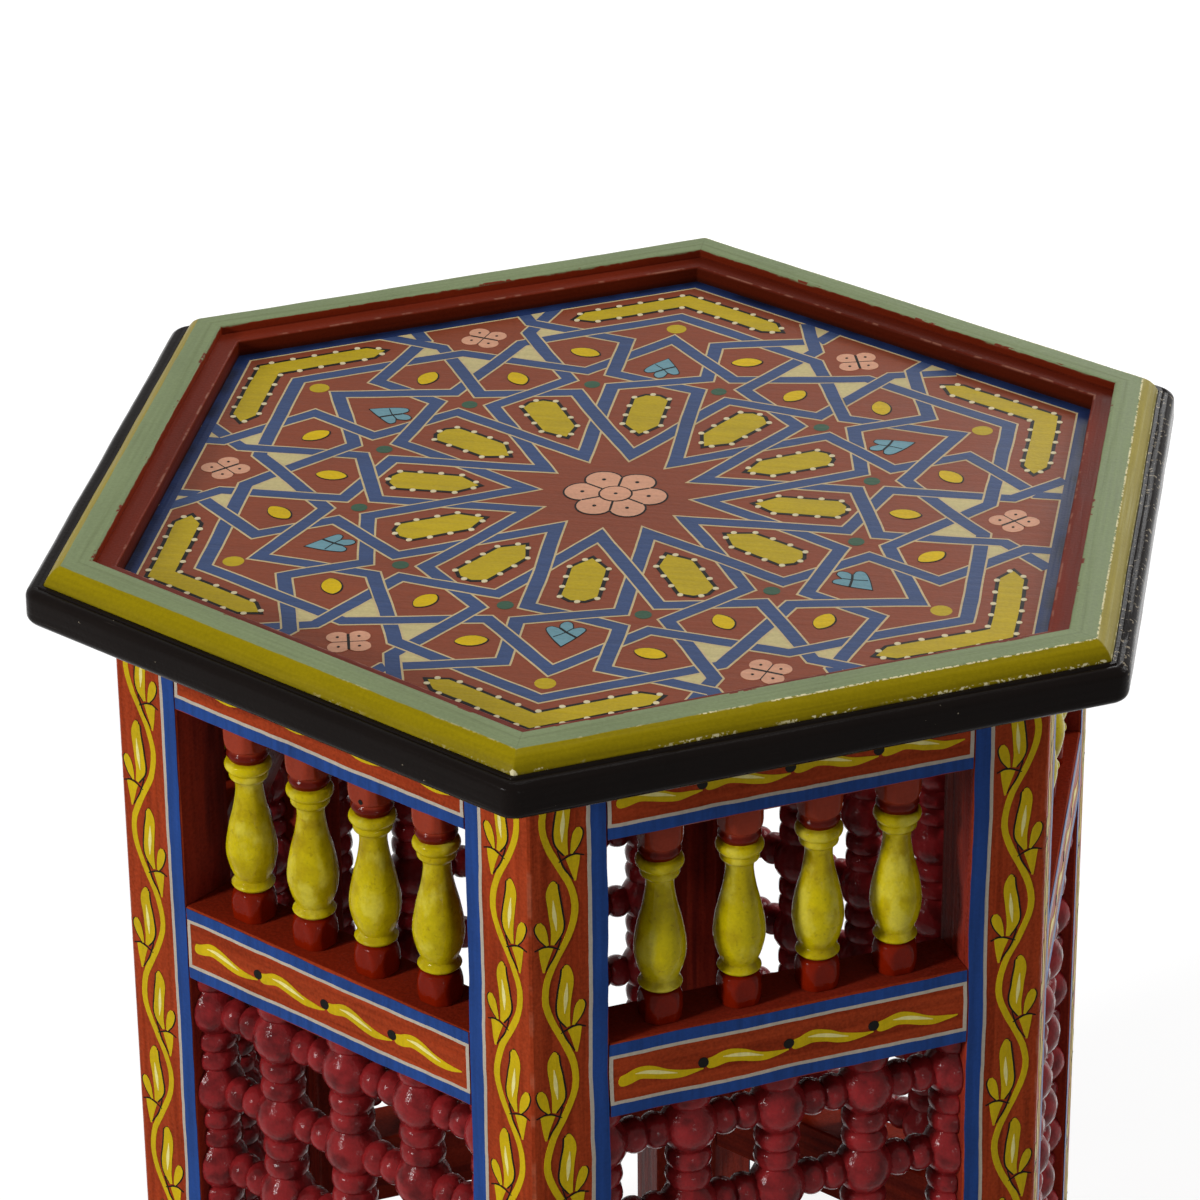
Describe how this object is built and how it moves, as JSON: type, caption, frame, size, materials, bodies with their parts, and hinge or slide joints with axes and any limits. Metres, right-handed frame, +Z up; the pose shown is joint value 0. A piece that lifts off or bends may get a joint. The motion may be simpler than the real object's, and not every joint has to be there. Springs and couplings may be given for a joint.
{
  "type": "mashrabiya side table",
  "caption": "Hexagonal painted wooden side table: sunken top panel in a stepped rim, on corner posts and rails with turned spindles above and open lattice panels below.",
  "frame": {"origin": "on the floor, straight below the middle of the top", "axes": "+Z up; -Y towards the front corner post; +X towards the flat side on the right"},
  "size_m": [0.3638, 0.4178, 0.4502],
  "materials": {
    "panel_paint": "brick-red paint with a painted star pattern under satin varnish",
    "rim_paint": "sage-green paint, mustard-yellow on the sloping edge, dark red inside",
    "edge_paint": "gloss black paint",
    "body_paint": "red paint with blue strips, white lines and yellow leaves under satin varnish",
    "lattice_paint": "gloss maroon paint",
    "spindle_paint": "gloss yellow paint with red square ends"
  },
  "bodies": {
    "root": {"top_panel": "panel_paint", "rim_frame": "rim_paint", "edge_moulding": "edge_paint", "post_1": "body_paint", "post_2": "body_paint", "post_3": "body_paint", "post_4": "body_paint", "post_5": "body_paint", "post_6": "body_paint", "top_rail_1": "body_paint", "top_rail_2": "body_paint", "top_rail_3": "body_paint", "top_rail_4": "body_paint", "top_rail_5": "body_paint", "top_rail_6": "body_paint", "mid_rail_1": "body_paint", "mid_rail_2": "body_paint", "mid_rail_3": "body_paint", "mid_rail_4": "body_paint", "mid_rail_5": "body_paint", "mid_rail_6": "body_paint", "bottom_rail_1": "body_paint", "bottom_rail_2": "body_paint", "bottom_rail_3": "body_paint", "bottom_rail_4": "body_paint", "bottom_rail_5": "body_paint", "bottom_rail_6": "body_paint", "lattice_1": "lattice_paint", "lattice_2": "lattice_paint", "lattice_3": "lattice_paint", "lattice_4": "lattice_paint", "lattice_5": "lattice_paint", "lattice_6": "lattice_paint", "spindle_1_1": "spindle_paint", "spindle_1_2": "spindle_paint", "spindle_1_3": "spindle_paint", "spindle_1_4": "spindle_paint", "spindle_2_1": "spindle_paint", "spindle_2_2": "spindle_paint", "spindle_2_3": "spindle_paint", "spindle_2_4": "spindle_paint", "spindle_3_1": "spindle_paint", "spindle_3_2": "spindle_paint", "spindle_3_3": "spindle_paint", "spindle_3_4": "spindle_paint", "spindle_4_1": "spindle_paint", "spindle_4_2": "spindle_paint", "spindle_4_3": "spindle_paint", "spindle_4_4": "spindle_paint", "spindle_5_1": "spindle_paint", "spindle_5_2": "spindle_paint", "spindle_5_3": "spindle_paint", "spindle_5_4": "spindle_paint", "spindle_6_1": "spindle_paint", "spindle_6_2": "spindle_paint", "spindle_6_3": "spindle_paint", "spindle_6_4": "spindle_paint"}
  },
  "joints": []
}
